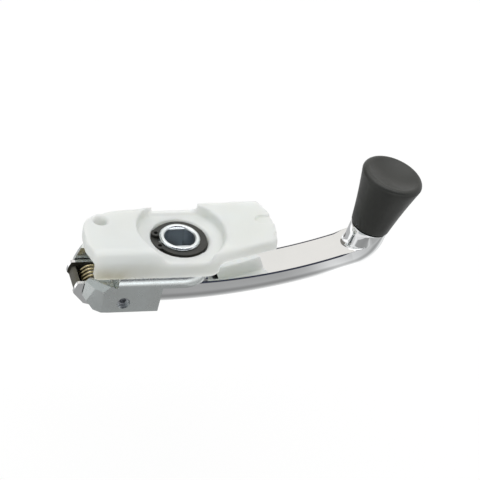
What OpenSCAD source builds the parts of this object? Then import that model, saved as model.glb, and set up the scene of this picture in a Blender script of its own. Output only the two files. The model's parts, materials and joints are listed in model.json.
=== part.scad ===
// Folding crank handle for a sliding roof.
// A nylon bearing housing is fixed to the roof. A steel hub turns in it and carries a cast fork
// underneath. The chromed arm is hinged between the cheeks of the fork, so it folds flat beside
// the housing, and a tapered knob spins on its raised end.
// Millimetres. The origin is on the drive axis at the mouth of the drive socket, Z points to the
// roof, X from the hinge to the knob.

/* [Drive hub] */
// Diameter of the hub where it turns in its bearing
hub_d = 12.9; // [11.5:0.1:13.4]
// Round part of the drive socket
socket_d = 9.5; // [8.6:0.1:10.4]
// Drive socket across its two flats
socket_flats = 8; // [6:0.1:8.4]
// Depth of the drive socket
socket_depth = 9.6; // [7:0.1:10.4]
// Hole for the fixing screw under the socket
screw_hole_d = 5.3; // [4:0.1:6]
// Hub below the bearing, where it is fixed in the fork
neck_d = 11.2; // [10.6:0.1:11.6]
// Neck across its two flats
neck_flats = 10; // [9.4:0.1:10.4]
// Diameter of the riveted head under the fork
head_d = 13.4; // [12.4:0.1:15]
// Height of the riveted head
head_h = 0.9; // [0.6:0.1:1.2]

/* [Retaining ring] */
// Outer diameter of the ring band
ring_d = 17; // [16:0.1:17.4]
// Thickness of the ring
ring_t = 1; // [0.8:0.05:1.1]
// Depth of the groove in the hub
groove_depth = 0.45; // [0.3:0.05:0.6]
// Ring face below the mouth of the socket
ring_drop = 0.9; // [0.6:0.1:1.2]
// Half the angle of the gap between the lugs
ring_gap_deg = 17; // [12:1:22]
// Diameter of each lug
lug_d = 3; // [2.6:0.1:3.2]
// Hole in each lug
lug_hole_d = 1.3; // [0.8:0.1:1.6]
// Thickness of the washer under the ring
washer_t = 0.7; // [0.5:0.05:0.9]

/* [Bearing housing] */
// Half width over the two straight walls
house_half_w = 12.7; // [12:0.1:14]
// Half length at the middle of each end
house_half_l = 31.2; // [29:0.1:34]
// Half length at the outer corners
corner_half_l = 29; // [27:0.1:30.4]
// Where each straight wall ends, from the drive axis
wall_end = 10.8; // [8:0.1:13]
// Half width at the narrow corner of each end
narrow_half_w = 6.6; // [5.6:0.1:8.5]
// Height of the end blocks above the socket mouth
block_h = 3; // [2:0.1:4]
// Underside of the thin flanges
flange_drop = 1.2; // [0.6:0.1:2.2]
// Underside of the bearing barrel
barrel_drop = 6.9; // [6.5:0.1:7.4]
// Underside of the deep walls
wall_drop = 6.3; // [5.8:0.1:6.4]
// Thickness of the deep walls
wall_t = 3.4; // [2.4:0.1:4.2]
// Fillet along the top of the deep walls
top_fillet = 4.4; // [2:0.1:5]
// Fillet at the lower end of each deep wall
end_fillet = 3.4; // [1:0.1:4]
// Recess round the hub, diameter
recess_d = 27.8; // [26:0.1:29]
// Floor of that recess below the socket mouth
recess_drop = 0.8; // [0.5:0.1:1]
// Plate under the recess
recess_plate_t = 2.6; // [1.8:0.1:4]
// Room round the ring in its counterbore
ring_room = 0.7; // [0.65:0.05:1]
// Wall of the bearing barrel round the counterbore
barrel_wall = 1.4; // [1:0.1:2]
// Ribs under the flanges
rib_t = 1.6; // [1.2:0.1:2.4]
// Depth of the ribs
rib_h = 2.4; // [1.5:0.1:4]
// Locating hole
locate_d = 3.9; // [3:0.1:4.4]
// Locating hole from the drive axis, along the housing
locate_x = -24.6; // [-25.6:0.1:-23]
// Locating hole from the drive axis, across the housing
locate_y = 5.4; // [4:0.1:5.8]
// Boss round the locating hole
locate_boss_d = 7.2; // [6.4:0.1:8]
// Countersink at the mouth of the locating hole
locate_sink = 0.8; // [0.4:0.1:1.2]
// Rounding of the end about the locating hole
locate_round = 4.2; // [2.5:0.1:5]
// Rounding of the other upright corners
corner_round = 2.4; // [1:0.1:3.5]
// Length of the locating hole
locate_len = 6; // [5:0.1:6.6]
// Slot in the other end, width
slot_w = 4.4; // [3:0.1:5]
// Slot in the other end, length
slot_l = 6.4; // [4.5:0.1:8]
// Slot centre across the housing
slot_y = 3.4; // [1:0.1:5]
// Slot depth
slot_depth = 0.9; // [0.8:0.1:3]

/* [Fork] */
// Gap between the housing and the plate of the fork
plate_gap = 0.5; // [0.3:0.05:0.8]
// Thickness of the plate
plate_t = 4.6; // [4:0.1:4.9]
// Half width of the fork
fork_half_w = 10.8; // [10.2:0.1:11.6]
// Rounding along the edge of the plate
plate_round = 4.1; // [1.5:0.1:4.3]
// Rounding of the plate towards the ears
plate_end_round = 3.2; // [1.5:0.1:4]
// Clearance between each cheek and the arm
cheek_clear = 0.4; // [0.3:0.05:0.6]
// Lower edge of the cheeks
cheek_drop = 21; // [20:0.1:22]
// Right end of the cheeks from the drive axis
cheek_end = -6; // [-9:0.1:-4]
// Left end of the ears beyond the hinge axis
ear_reach = 5.4; // [4.6:0.1:6]
// Height of the ears above the hinge axis
ear_h = 6.2; // [5.6:0.1:6.4]
// Length over which the bevel of an ear runs out
ear_bevel_run = 6.1; // [5:0.1:7]
// Depth of that bevel at the hinge
ear_top_bevel = 3.6; // [2.5:0.1:4]
// Shallow step of the outer face behind the bevels
ear_step = 0.25; // [0.1:0.05:0.4]
// Bevel of the ears in plan
ear_plan_bevel = 3.6; // [2.5:0.1:4.1]
// Rounding of the lower corner of the ears
ear_round = 3; // [1.5:0.1:4]

/* [Hinge] */
// Hinge axis from the drive axis
hinge_x = -25.8; // [-27:0.1:-25]
// Hinge axis below the socket mouth
hinge_drop = 16.9; // [16.6:0.1:17.4]
// Hinge pin diameter
pin_d = 4; // [3:0.1:4.6]
// How far the pin goes into each cheek
pin_seat = 2.2; // [1.4:0.1:2.4]
// Spring coil, mean diameter
coil_d = 8.8; // [8.2:0.1:9.4]
// Spring wire
wire_d = 0.9; // [0.7:0.05:1]
// Turns of the spring
coil_turns = 4.5; // [3.5:1:4.5]
// Pitch of the coils
coil_pitch = 1.54; // [1.3:0.02:1.56]
// Length of the leg that lies in the arm
leg_l = 7; // [4:0.1:9]

/* [Arm] */
// Half width of the arm
arm_half_w = 5.8; // [5:0.05:6]
// Flat face of the arm below the socket mouth
arm_drop = 14.5; // [14.2:0.1:15]
// Depth of the arm at the hinge
arm_depth = 9.6; // [8.8:0.1:10]
// Depth of the arm at the elbow
elbow_depth = 8.5; // [7.6:0.1:9.4]
// Radius of the flat face along the arm
arm_curve = 150; // [130:1:200]
// How far the flat face curves before the elbow
arm_sweep_deg = 21.5; // [16:0.1:23]
// Inner radius of the elbow
elbow_r = 5; // [3.5:0.1:8]
// Lean of the knob from the drive axis
knob_lean = 12; // [6:0.5:18]
// Bevel along the flat face
arm_bevel = 0.6; // [0.3:0.05:0.9]
// Radius of the knuckle round the hinge
knuckle_r = 7.2; // [6.9:0.05:7.4]
// Side walls of the pocket
pocket_wall = 1.25; // [1.2:0.05:1.8]
// End wall of the pocket
pocket_end = 1.4; // [1:0.05:1.6]
// Floor of the channel below the flat face
channel_depth = 3.6; // [2.5:0.1:4.4]
// Right end of the channel from the drive axis
channel_end = 13.5; // [10:0.1:16]
// Diameter of the boss under the knob
boss_d = 11.9; // [11.7:0.1:13]
// Straight length of that boss
boss_h = 3; // [1.5:0.1:5]

/* [Detent screw] */
// Screw diameter
detent_d = 4.2; // [3.2:0.1:4.6]
// Screw from the hinge axis, towards the drive axis
detent_x = 7.8; // [6:0.1:11]
// Screw below the flat face of the arm
detent_drop = 2.9; // [2.2:0.1:3.2]
// How far the screw is sunk in the cheek
detent_sink = 1.2; // [0.6:0.1:1.6]
// Socket of the screw across flats
detent_hex = 2; // [1.5:0.1:2.5]
// Nose that bears on the arm
nose_d = 2.2; // [1.6:0.1:2.6]

/* [Knob] */
// Diameter at the boss
knob_base_d = 12.6; // [11:0.1:14]
// Diameter at the rim
knob_rim_d = 19.9; // [16:0.1:24]
// Length of the knob
knob_l = 21; // [17:0.1:28]
// Rounding of the rim
knob_round = 1.5; // [1:0.1:3]
// Depth of the dished top
knob_dish = 1.7; // [0.4:0.1:2]
// Gap between the knob and the boss
knob_gap = 0.5; // [0.3:0.05:1]
// Spindle diameter
spindle_d = 6; // [4:0.1:7]
// Spindle head diameter
spindle_head_d = 7.8; // [7.2:0.1:8.6]
// Spindle head height
spindle_head_h = 2; // [1.2:0.1:3]
// How far the spindle goes into the boss
spindle_seat = 4.4; // [3:0.1:5]
// How far the spindle stands in the knob
spindle_l = 14; // [9:0.1:15]

/* [Hidden] */
$fn = 72;
// running clearance on a radius, and the gap between a seat and a face that slides on it
run_clear = 0.05;
axial_clear = 0.05;
// overlap of a cut past a face
over = 1;
// lap of one length of the arm over the next
lap = 0.06;
// spigots that stand in the pocket round the hinge bore
spigot_l = 0.3;

hub_r = hub_d / 2;
bearing_r = hub_r + run_clear;
plate_top = -(barrel_drop + plate_gap);
plate_bottom = plate_top - plate_t;
groove_r = hub_r - groove_depth;
ring_top = -ring_drop;
ring_bottom = ring_top - ring_t;
washer_bottom = ring_bottom - washer_t;
counterbore_d = ring_d + 2 * ring_room;
barrel_d = counterbore_d + 2 * barrel_wall;

cheek_in = arm_half_w + cheek_clear;
hinge_z = -hinge_drop;
// the plate stays outside the circle that the knuckle sweeps
plate_left = hinge_x + sqrt(pow(knuckle_r + cheek_clear, 2) - pow(plate_bottom - hinge_z, 2));

face_z = -arm_drop;
arm_core_z = face_z - (arm_depth - arm_half_w);
bend_deg = 90 - knob_lean;
// start of the elbow on the flat face
bend_x = arm_curve * sin(arm_sweep_deg);
bend_z = face_z + arm_curve * (1 - cos(arm_sweep_deg));
// centre of the elbow
elbow_x = bend_x - elbow_r * sin(arm_sweep_deg);
elbow_z = bend_z + elbow_r * cos(arm_sweep_deg);
// line of tube centres in the elbow, and where it meets the long sweep
elbow_core = elbow_depth - arm_half_w;
core_x = bend_x + elbow_core * sin(arm_sweep_deg);
core_z = bend_z - elbow_core * cos(arm_sweep_deg);
core_r = (core_z - arm_core_z) / (1 - cos(arm_sweep_deg));
sweep_x = core_x - core_r * sin(arm_sweep_deg);
// angle that a millimetre takes on that curve
lap_deg = over / core_r * 180 / PI;
// flat face of the straight end, where the curve of the face starts
root_z = face_z + arm_curve - sqrt(arm_curve * arm_curve - sweep_x * sweep_x);
// knob axis: foot of the boss, and the top of the boss
boss_foot_x = elbow_x + (elbow_r + elbow_core) * sin(bend_deg);
boss_foot_z = elbow_z - (elbow_r + elbow_core) * cos(bend_deg);
boss_x = boss_foot_x + boss_h * sin(knob_lean);
boss_z = boss_foot_z + boss_h * cos(knob_lean);

pocket_half_w = arm_half_w - pocket_wall;
pocket_r = knuckle_r - pocket_end;
coil_r = coil_d / 2;
wire_r = wire_d / 2;
// the leg of the spring lies on this floor
leg_floor = hinge_z - coil_r - wire_r - axial_clear;
leg_y = coil_turns * coil_pitch / 2;

detent_z = face_z - detent_drop;
detent_head_y = -(fork_half_w - detent_sink);
nose_tip_y = -(arm_half_w + lap + axial_clear);
nose_root_y = -cheek_in - axial_clear;

function turned(p) = [for (q = p) [-q[0], -q[1]]];

// a cylinder along Y from y0 to y1
module rod_y(d, y0, y1) {
    translate([0, y0, 0]) rotate([-90, 0, 0]) cylinder(d = d, h = y1 - y0);
}

// a figure drawn in X and Z, drawn out along Y from y0 to y1
module side(y0, y1) {
    translate([0, y1, 0]) rotate([90, 0, 0]) linear_extrude(height = y1 - y0) children();
}

// a figure drawn in Y and Z, drawn out along X from x0 to x1
module along_x(x0, x1) {
    translate([x0, 0, 0]) rotate([90, 0, 90]) linear_extrude(height = x1 - x0) children();
}

// a block with both upper edges rounded, drawn in Y and Z
module rounded_top(half, low, high, r) {
    intersection() {
        union() {
            translate([-half, low]) square([2 * half, high - low - r]);
            translate([-half + r, low]) square([2 * half - 2 * r, high - low]);
            for (s = [-1, 1]) translate([s * (half - r), high - r]) circle(r);
        }
        translate([-half, low]) square([2 * half, high - low]);
    }
}

module double_d(d, flats, h) {
    intersection() {
        cylinder(d = d, h = h);
        translate([-d, -flats / 2, -over]) cube([2 * d, flats, h + 2 * over]);
    }
}

// corner b of an outline, between a and c, as an arc of radius r
function arc_corner(a, b, c, r) =
    let (u = unit(a - b), v = unit(c - b), m = unit(u + v), half = acos(u * v) / 2,
        o = b + m * r / sin(half), from = b + u * r / tan(half) - o,
        way = u[0] * v[1] - u[1] * v[0] > 0 ? -1 : 1, n = 8)
    [for (i = [0 : n]) let (t = way * i * (180 - 2 * half) / n)
        o + [from[0] * cos(t) - from[1] * sin(t), from[0] * sin(t) + from[1] * cos(t)]];

// outline of the housing, the same after half a turn but for its rounded corners
module house_plan() {
    p = [[-corner_half_l, -house_half_w], [wall_end, -house_half_w],
        [house_half_l - 0.6, -narrow_half_w], [house_half_l, narrow_half_w - 1.6]];
    q = concat(p, turned(p));
    r = [corner_round, 0, 1, 1, corner_round, 0, locate_round, 1.6];
    polygon([for (i = [0 : 7]) for (e = r[i] > 0
        ? arc_corner(q[(i + 7) % 8], q[i], q[(i + 1) % 8], r[i]) : [q[i]]) e]);
}

// the deep wall on the straight side of one end, with its lower corner rounded
module deep_wall() {
    x0 = -corner_half_l;
    side(-house_half_w, -house_half_w + wall_t) {
        translate([x0, -wall_drop]) square([wall_end - x0 - end_fillet, wall_drop]);
        translate([x0, -wall_drop + end_fillet]) square([wall_end - x0, wall_drop - end_fillet]);
        translate([wall_end - end_fillet, -wall_drop + end_fillet]) circle(end_fillet);
    }
}

module house_ribs() {
    for (y = [-narrow_half_w + 2.6, narrow_half_w - 2.6])
        translate([0, y - rib_t / 2, -flange_drop - rib_h])
            cube([house_half_l - 3, rib_t, rib_h + over]);
}

module bearing_housing() {
    color([0.93, 0.92, 0.86])
    difference() {
        intersection() {
            union() {
                translate([0, 0, -flange_drop])
                    linear_extrude(height = block_h + flange_drop) house_plan();
                for (a = [0, 180]) rotate(a) house_ribs();
                intersection() {
                    union() {
                        for (a = [0, 180]) rotate(a) deep_wall();
                        translate([0, 0, -recess_drop - recess_plate_t])
                            cylinder(d = recess_d + 2, h = recess_plate_t);
                    }
                    translate([0, 0, -wall_drop - over])
                        linear_extrude(height = wall_drop + over) house_plan();
                }
                translate([0, 0, -barrel_drop])
                    cylinder(d = barrel_d, h = barrel_drop - recess_drop);
                translate([locate_x, locate_y, block_h - locate_len])
                    cylinder(d = locate_boss_d, h = locate_len);
            }
            along_x(-house_half_l - over, house_half_l + over)
                rounded_top(house_half_w, -barrel_drop, block_h, top_fillet);
        }
        translate([0, 0, -recess_drop]) cylinder(d = recess_d, h = block_h + recess_drop + over);
        translate([0, 0, washer_bottom]) cylinder(d = counterbore_d, h = -washer_bottom);
        translate([0, 0, -barrel_drop - over]) cylinder(r = bearing_r, h = barrel_drop + over);
        translate([locate_x, locate_y, block_h - locate_len - over])
            cylinder(d = locate_d, h = locate_len + 2 * over);
        translate([locate_x, locate_y, block_h - locate_sink])
            cylinder(d1 = locate_d, d2 = locate_d + 4 * locate_sink, h = 2 * locate_sink);
        translate([house_half_l - slot_l + slot_w / 2, slot_y, block_h - slot_depth]) {
            cylinder(d = slot_w, h = slot_depth + over);
            translate([0, -slot_w / 2, 0]) cube([slot_l, slot_w, slot_depth + over]);
        }
    }
}

module hub_sleeve() {
    color([0.74, 0.77, 0.80])
    difference() {
        union() {
            translate([0, 0, plate_top]) rotate_extrude() polygon([[0, 0], [hub_r, 0],
                [hub_r, -plate_top - 0.5], [hub_r - 0.5, -plate_top], [0, -plate_top]]);
            translate([0, 0, plate_bottom]) double_d(neck_d, neck_flats, plate_t + over / 2);
            translate([0, 0, plate_bottom - head_h]) cylinder(d1 = head_d - 1, d2 = head_d, h = head_h);
        }
        translate([0, 0, -socket_depth]) double_d(socket_d, socket_flats, socket_depth + over);
        translate([0, 0, plate_bottom - head_h - over])
            cylinder(d = screw_hole_d, h = -plate_bottom + head_h + over);
        translate([0, 0, ring_bottom - axial_clear]) difference() {
            cylinder(r = hub_r + over, h = ring_t + 2 * axial_clear);
            translate([0, 0, -over]) cylinder(r = groove_r, h = ring_t + 2 * over);
        }
        // lead-in at the mouth of the socket
        translate([0, 0, -0.5]) cylinder(d1 = socket_d, d2 = socket_d + 1, h = 0.5);
        translate([0, 0, -0.001]) cylinder(d = socket_d + 1, h = over);
    }
}

module retaining_ring() {
    lug_r = ring_d / 2 - lug_d / 2 + 0.6;
    color([0.10, 0.10, 0.10])
    translate([0, 0, ring_bottom])
    difference() {
        union() {
            // the band is widest across from its gap
            difference() {
                translate([0.35, 0, 0]) cylinder(d = ring_d - 0.4, h = ring_t);
                linear_extrude(height = 3 * ring_t, center = true)
                    polygon([[0, 0], [-ring_d, -ring_d * tan(ring_gap_deg + 8)],
                        [-ring_d, ring_d * tan(ring_gap_deg + 8)]]);
            }
            for (s = [-1, 1]) rotate(180 + s * (ring_gap_deg + 7)) translate([lug_r, 0, 0])
                cylinder(d = lug_d, h = ring_t);
        }
        translate([0, 0, -over]) cylinder(r = groove_r + run_clear, h = ring_t + 2 * over);
        for (s = [-1, 1]) rotate(180 + s * (ring_gap_deg + 7)) translate([lug_r, 0, -over])
            cylinder(d = lug_hole_d, h = ring_t + 2 * over);
    }
}

module thrust_washer() {
    color([0.14, 0.14, 0.13])
    translate([0, 0, washer_bottom]) difference() {
        cylinder(d = counterbore_d - 0.4, h = washer_t);
        translate([0, 0, -over]) cylinder(r = bearing_r + run_clear, h = washer_t + 2 * over);
    }
}

// plate of the fork: straight sides with a rounded upper edge, and a round end about the hub
module fork_plate() {
    x0 = hinge_x + ear_reach;
    intersection() {
        along_x(x0, 0) rounded_top(fork_half_w, plate_bottom, plate_top, plate_round);
        side(-fork_half_w - over, fork_half_w + over) {
            translate([x0, plate_bottom - over]) square([-x0 + over, plate_t - plate_end_round + over]);
            translate([x0 + plate_end_round, plate_bottom - over])
                square([-x0 - plate_end_round + over, plate_t + 2 * over]);
            translate([x0 + plate_end_round, plate_top - plate_end_round]) circle(plate_end_round);
        }
    }
    translate([0, 0, plate_bottom]) rotate_extrude() intersection() {
        translate([0, -plate_bottom]) rounded_top(fork_half_w, plate_bottom, plate_top, plate_round);
        square([fork_half_w, plate_t]);
    }
}

// side of one cheek: a blade with a slanted right end and an ear round the hinge
module cheek_side() {
    left = hinge_x - ear_reach;
    top = hinge_z + ear_h;
    difference() {
        union() {
            polygon([[left + ear_round, -cheek_drop], [cheek_end - 0.7, -cheek_drop],
                [cheek_end, plate_bottom + 0.5], [hinge_x + ear_reach - 0.6, plate_bottom + 0.5],
                [hinge_x + ear_reach - 1.6, top], [left + 1.9, top], [left, hinge_z + 1],
                [left, -cheek_drop + ear_round]]);
            translate([left + ear_round, -cheek_drop + ear_round]) circle(ear_round);
        }
    }
}

// one cheek on the side of negative Y: its side, its plan and its end view meet
module cheek() {
    left = hinge_x - ear_reach;
    top = hinge_z + ear_h;
    intersection() {
        side(-fork_half_w, -cheek_in) cheek_side();
        // plan, with the outer corner of the ear bevelled
        translate([0, 0, -cheek_drop - over]) linear_extrude(height = cheek_drop) polygon([
            [left, -cheek_in], [left, -fork_half_w + ear_plan_bevel + 0.4],
            [left + 1.8, -fork_half_w + ear_plan_bevel],
            [left + 1.8 + ear_plan_bevel, -fork_half_w + ear_step],
            [left + 5 + ear_plan_bevel, -fork_half_w], [cheek_end, -fork_half_w],
            [cheek_end, -cheek_in]]);
        // a bevel over the corner of the ear, from its inner tip to the root of the plate
        difference() {
            translate([left - over, -fork_half_w, -cheek_drop])
                cube([cheek_end - left + 2 * over, fork_half_w, cheek_drop]);
            tip = [left + 2.3, -cheek_in, top];
            root = tip + [ear_bevel_run, cheek_in - fork_half_w, 0];
            hang = [hinge_x, -fork_half_w, top - ear_top_bevel];
            n = cross(hang - tip, root - tip);
            translate(tip) rotate([0, acos(n[2] / norm(n)), atan2(n[1], n[0])])
                translate([-cheek_drop, -cheek_drop, 0]) cube(2 * cheek_drop);
        }
    }
}

module pivot_bracket() {
    color([0.60, 0.61, 0.60])
    difference() {
        union() {
            fork_plate();
            for (m = [0, 1]) mirror([0, m, 0]) cheek();
        }
        // room for the knuckle between the cheeks
        translate([hinge_x - ear_reach - over, -cheek_in, -cheek_drop - over])
            cube([plate_left - hinge_x + ear_reach + over, 2 * cheek_in, cheek_drop]);
        // seat of the hub
        translate([0, 0, plate_bottom - over]) double_d(neck_d, neck_flats, plate_t + 2 * over);
        // hinge pin: blind in the near ear, through the far ear
        translate([hinge_x, 0, hinge_z]) rod_y(pin_d, -cheek_in - pin_seat, fork_half_w + over);
        // detent screw: threaded hole through the near cheek
        translate([hinge_x + detent_x, 0, detent_z]) rod_y(detent_d, -fork_half_w - over, 0);
    }
}

module hinge_pin() {
    color([0.62, 0.63, 0.65])
    translate([hinge_x, 0, hinge_z]) rod_y(pin_d, -cheek_in - pin_seat, cheek_in + pin_seat);
}

module detent_screw() {
    color([0.45, 0.46, 0.47])
    translate([hinge_x + detent_x, 0, detent_z]) difference() {
        rod_y(detent_d, detent_head_y, nose_root_y);
        translate([0, detent_head_y - over, 0]) rotate([-90, 0, 0])
            cylinder(d = detent_hex / cos(30), h = over + 1.6, $fn = 6);
    }
}

module detent_nose() {
    color([0.78, 0.78, 0.78])
    translate([hinge_x + detent_x, 0, detent_z]) rod_y(nose_d, nose_root_y, nose_tip_y);
}

// section of the arm: straight flanks and a half round back, drawn from its flat face at y = 0;
// grow makes it a hair larger all round, where one length of the arm laps over the next
module arm_section(depth, grow = 0, bevel = arm_bevel) {
    w = arm_half_w + grow;
    low = -(depth - arm_half_w);
    if (bevel > 0)
        polygon([[-w, low], [w, low], [w, grow - bevel], [w - bevel, grow], [bevel - w, grow],
            [-w, grow - bevel]]);
    else translate([-w, low]) square([2 * w, grow - low]);
    translate([0, low]) circle(w);
}

// a half plane figure turned about the Y axis through its centre, from straight down to deg
module bend(deg) {
    rotate([90, 0, 0]) rotate(-90) rotate_extrude(angle = deg, $fn = 144) children();
}

// the long sweep: the back follows its own curve, and a wide cylinder cuts the flat face
module arm_sweep() {
    b = arm_bevel;
    difference() {
        translate([sweep_x, 0, arm_core_z + core_r]) rotate([0, lap_deg, 0])
            bend(arm_sweep_deg + 2 * lap_deg)
            translate([core_r - 2 * arm_depth, 0]) rotate(90)
                arm_section(2 * arm_depth + arm_half_w, 0, 0);
        translate([0, 0, face_z + arm_curve])
            rotate([90, 0, 0]) cylinder(r = arm_curve, h = 4 * arm_half_w, center = true, $fn = 720);
        // thin bevel along both edges of the flat face
        for (s = [-1, 1]) translate([0, 0, face_z + arm_curve]) rotate([0, arm_sweep_deg, 0])
            bend(3 * arm_sweep_deg) polygon([[arm_curve - b, s * (arm_half_w + b)],
                [arm_curve - b, s * (arm_half_w - 2 * b)], [arm_curve + 2 * b, s * (arm_half_w + b)]]);
    }
}

// the elbow turns the same section up to the knob axis
module arm_elbow() {
    translate([elbow_x, 0, elbow_z]) rotate([0, -arm_sweep_deg, 0])
        bend(bend_deg - arm_sweep_deg)
            translate([elbow_r, 0]) rotate(90) arm_section(elbow_depth, lap, 0);
}

// round boss under the knob, with a ball end that is buried in the elbow
module arm_boss() {
    r = boss_d / 2;
    knob_frame() translate([0, 0, -boss_h]) rotate_extrude() intersection() {
        union() {
            circle(r);
            square([r, boss_h]);
        }
        translate([0, -r]) square([r, r + boss_h]);
    }
}

// straight end of the arm with the round knuckle about the hinge
module arm_root() {
    along_x(hinge_x, sweep_x)
        translate([0, root_z]) arm_section(root_z - arm_core_z + arm_half_w, lap);
    intersection() {
        translate([hinge_x, 0, hinge_z]) rod_y(2 * knuckle_r, -arm_half_w, arm_half_w);
        translate([hinge_x - 2 * knuckle_r, -arm_half_w, hinge_z - 2 * knuckle_r])
            cube([3 * knuckle_r, 2 * arm_half_w, 2 * knuckle_r + root_z - hinge_z]);
    }
}

module knob_frame() {
    translate([boss_x, 0, boss_z]) rotate([0, knob_lean, 0]) children();
}

module crank_arm() {
    color([0.80, 0.81, 0.82])
    difference() {
        union() {
            arm_root();
            arm_sweep();
            arm_elbow();
            arm_boss();
            translate([hinge_x, 0, hinge_z]) rod_y(coil_d - wire_d - 0.4, -arm_half_w, arm_half_w);
        }
        // pocket for the spring, open above and between the two spigots
        difference() {
            translate([hinge_x, 0, hinge_z]) union() {
                rod_y(2 * pocket_r, -pocket_half_w, pocket_half_w);
                translate([-pocket_r, -pocket_half_w, 0])
                    cube([2 * pocket_r, 2 * pocket_half_w, 2 * pocket_r]);
                translate([0, -pocket_half_w, leg_floor - hinge_z])
                    cube([leg_l + 1.5, 2 * pocket_half_w, 2 * pocket_r]);
            }
            for (s = [-1, 1]) translate([hinge_x, s * pocket_half_w, hinge_z])
                rod_y(coil_d - wire_d - 0.4, -spigot_l, spigot_l);
        }
        // channel under the hub
        translate([hinge_x + leg_l, -pocket_half_w, face_z - channel_depth])
            cube([channel_end - hinge_x - leg_l, 2 * pocket_half_w, channel_depth + 4 * over]);
        // hinge bore
        translate([hinge_x, 0, hinge_z])
            rod_y(pin_d + 2 * run_clear, -arm_half_w - over, arm_half_w + over);
        // seat of the spindle
        knob_frame() translate([0, 0, -spindle_seat]) cylinder(d = spindle_d, h = spindle_seat + over);
    }
}

// path of the spring wire: a tang beside the pin, the coils, and a leg along the arm
function coil_path() =
    let (n = 20, tang = pin_d / 2 + wire_r + 0.3, turn = 360 * coil_turns)
    concat(
        [[tang * cos(90), -leg_y, tang * sin(90)], [(coil_r - 1) * cos(90), -leg_y, coil_r - 1]],
        [for (i = [1 : n * coil_turns]) let (a = 90 + i * 360 / n)
            [coil_r * cos(a), -leg_y + coil_pitch * i / n, coil_r * sin(a)]],
        [[coil_r * 0.5, leg_y, -coil_r], [leg_l, leg_y, -coil_r]]);

function unit(v) = v / norm(v);

// a round wire along a path
module wire(path, r, sides = 8) {
    n = len(path);
    dirs = [for (i = [0 : n - 1]) unit(path[min(i + 1, n - 1)] - path[max(i - 1, 0)])];
    rings = [for (i = [0 : n - 1])
        let (t = dirs[i], u = unit(cross(t, [0.05, 1, 0.03])), v = cross(t, u))
        for (k = [0 : sides - 1]) path[i] + r * (cos(360 * k / sides) * u + sin(360 * k / sides) * v)];
    faces = concat(
        [[for (k = [0 : sides - 1]) k]],
        [for (i = [0 : n - 2]) for (k = [0 : sides - 1])
            [i * sides + k, (i + 1) * sides + k, (i + 1) * sides + (k + 1) % sides,
                i * sides + (k + 1) % sides]],
        [[for (k = [sides - 1 : -1 : 0]) (n - 1) * sides + k]]);
    polyhedron(points = rings, faces = faces, convexity = 10);
}

module hinge_spring() {
    color([0.80, 0.66, 0.30])
    translate([hinge_x, 0, hinge_z]) wire(coil_path(), wire_r);
}

module knob_spindle() {
    color([0.66, 0.67, 0.69])
    knob_frame() {
        translate([0, 0, -spindle_seat]) cylinder(d = spindle_d, h = spindle_seat + spindle_l);
        translate([0, 0, spindle_l - spindle_head_h]) cylinder(d = spindle_head_d, h = spindle_head_h);
    }
}

module knob() {
    base = knob_base_d / 2;
    rim = knob_rim_d / 2;
    r = knob_round;
    color([0.13, 0.13, 0.14])
    knob_frame() difference() {
        rotate_extrude() difference() {
            union() {
                polygon([[0, knob_gap], [base - 0.6, knob_gap], [base, knob_gap + 0.6],
                    [rim, knob_l - r], [rim - r, knob_l], [0, knob_l]]);
                translate([rim - r, knob_l - r]) circle(r);
            }
            // dished top
            dish = rim - r;
            ball = (dish * dish + knob_dish * knob_dish) / (2 * knob_dish);
            translate([0, knob_l - knob_dish + ball]) circle(ball, $fn = 240);
            translate([-4 * rim, 0]) square([4 * rim, 2 * knob_l]);
        }
        translate([0, 0, -over]) cylinder(d = spindle_d + 2 * run_clear, h = spindle_l + over);
        translate([0, 0, spindle_l - spindle_head_h - 0.3])
            cylinder(d = spindle_head_d + 0.6, h = spindle_head_h + 0.6);
    }
}

bearing_housing();
hub_sleeve();
retaining_ring();
thrust_washer();
pivot_bracket();
hinge_pin();
detent_screw();
detent_nose();
crank_arm();
hinge_spring();
knob_spindle();
knob();
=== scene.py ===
"""Looks of a folding crank handle for a sliding roof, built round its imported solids.

Metres, in the frame of the solids: the drive axis is Z, X runs from the hinge to the knob.
"""
import json
import math

import bmesh
import bpy
from mathutils import Matrix, Vector


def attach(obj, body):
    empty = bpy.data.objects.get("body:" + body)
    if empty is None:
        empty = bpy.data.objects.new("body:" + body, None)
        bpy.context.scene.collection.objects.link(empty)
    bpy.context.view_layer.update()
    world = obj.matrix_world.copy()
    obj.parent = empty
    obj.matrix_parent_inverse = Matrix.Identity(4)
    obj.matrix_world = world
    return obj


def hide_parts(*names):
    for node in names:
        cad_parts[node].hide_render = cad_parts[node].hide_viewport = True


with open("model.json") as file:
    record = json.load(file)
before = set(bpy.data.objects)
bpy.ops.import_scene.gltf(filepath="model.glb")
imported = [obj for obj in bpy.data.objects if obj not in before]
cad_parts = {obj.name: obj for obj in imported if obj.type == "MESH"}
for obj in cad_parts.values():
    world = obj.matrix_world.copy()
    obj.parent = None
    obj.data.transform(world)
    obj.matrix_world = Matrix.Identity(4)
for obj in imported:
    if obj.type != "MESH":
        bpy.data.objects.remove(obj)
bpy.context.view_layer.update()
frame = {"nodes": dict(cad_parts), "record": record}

MM = 0.001
scene = bpy.context.scene


# Finishes

def shader_group(name, inputs, outputs):
    """A node group with named sockets: returns the group, its input node and its output node."""
    group = bpy.data.node_groups.new(name, "ShaderNodeTree")
    for label, kind, value in inputs:
        socket = group.interface.new_socket(label, in_out="INPUT", socket_type=kind)
        socket.default_value = value
    for label, kind in outputs:
        group.interface.new_socket(label, in_out="OUTPUT", socket_type=kind)
    return group, group.nodes.new("NodeGroupInput"), group.nodes.new("NodeGroupOutput")


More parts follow.
